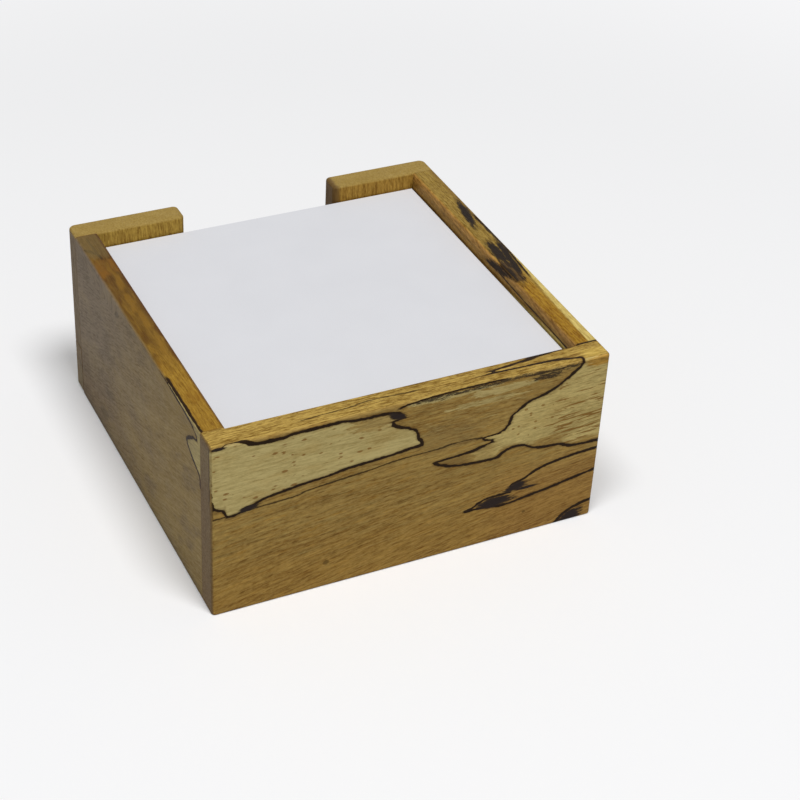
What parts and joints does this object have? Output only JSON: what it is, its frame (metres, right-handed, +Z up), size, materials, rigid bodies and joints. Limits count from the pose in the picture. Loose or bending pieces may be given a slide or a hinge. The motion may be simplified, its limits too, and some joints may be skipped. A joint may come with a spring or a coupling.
{
  "type": "memo pad holder",
  "caption": "Square wooden box that holds a block of note paper behind a finger gap, with a shallow drawer under the paper.",
  "frame": {"origin": "middle of the underside", "axes": "+Z up; +Y towards the user, the side with the finger gap and the drawer; +X to the left of that user"},
  "size_m": [0.103, 0.104, 0.0495],
  "materials": {
    "spalted_beech": "satin",
    "plain_beech": "satin",
    "birch_plywood": "satin",
    "pin_wood": "matte",
    "brad_steel": "satin",
    "note_paper": "matte",
    "grey_card": "matte"
  },
  "bodies": {
    "case": {"rear_panel": "spalted_beech", "left_side": "spalted_beech", "right_side": "spalted_beech", "left_cheek": "spalted_beech", "right_cheek": "spalted_beech", "pad_floor": "birch_plywood", "base_panel": "birch_plywood", "rear_dowels": "pin_wood", "cheek_dowels": "pin_wood"},
    "drawer": {"drawer_front": "spalted_beech", "drawer_left_side": "plain_beech", "drawer_right_side": "plain_beech", "drawer_back": "plain_beech", "drawer_bottom": "birch_plywood", "drawer_front_dowels": "pin_wood", "drawer_back_brads": "brad_steel"},
    "pad": {"backing_card": "grey_card", "sheet_block": "note_paper"}
  },
  "joints": [
    {"name": "drawer_slide", "type": "slide", "parent": "case", "child": "drawer", "axis": [0, 1, 0], "range_m": [0, 0.07]},
    {"name": "pad_lift", "type": "slide", "parent": "case", "child": "pad", "axis": [0, 0, 1], "range_m": [0, 0.035]}
  ]
}
